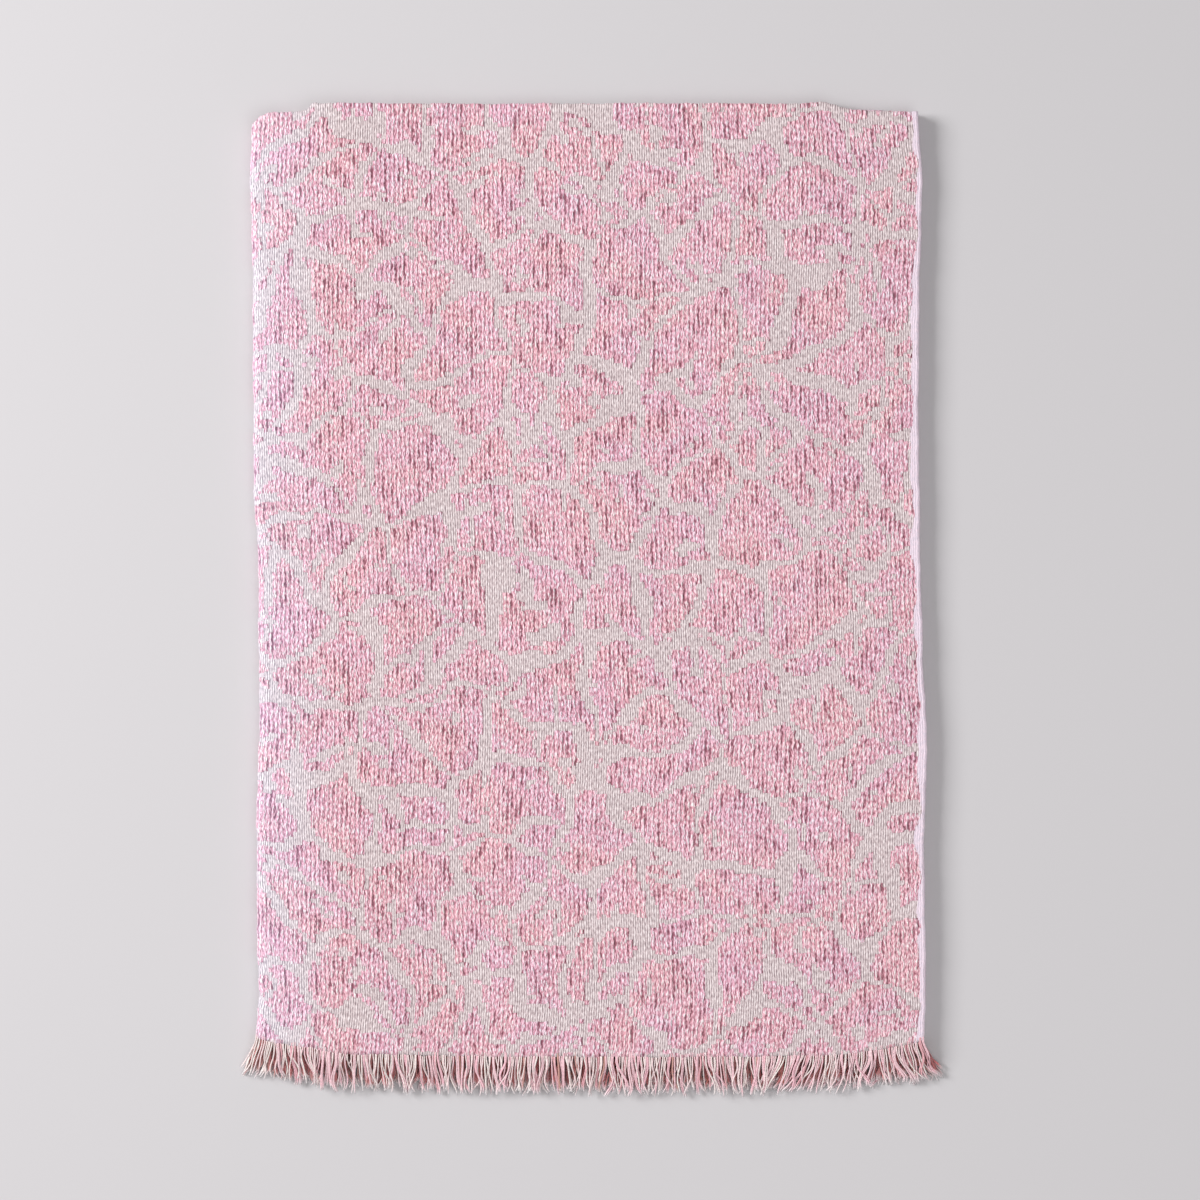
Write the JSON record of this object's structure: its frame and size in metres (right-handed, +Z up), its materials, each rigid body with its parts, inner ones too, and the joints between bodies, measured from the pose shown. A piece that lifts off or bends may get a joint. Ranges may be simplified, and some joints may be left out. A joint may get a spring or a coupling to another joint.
{
  "type": "folded armchair throw",
  "caption": "Textured woven throw blanket folded in quarters, soft rounded fold along one side, cut fringe along its front edge.",
  "frame": {"origin": "on the surface that the throw lies on, under the middle of its bounding box", "axes": "+Y from the fringe to the crest of the half fold, +X from the rounded second fold to the open selvedges, +Z up through the layers"},
  "size_m": [0.6206, 0.8914, 0.0202],
  "materials": {
    "cloth": "ribbed pink and pale grey jacquard weave",
    "fringe_upper": "loose pale pink yarn",
    "fringe_lower": "loose rose and cream yarn"
  },
  "bodies": {
    "root": {"cloth": "cloth", "fringe_outer": "fringe_upper", "fringe_inner": "fringe_lower"}
  },
  "joints": []
}
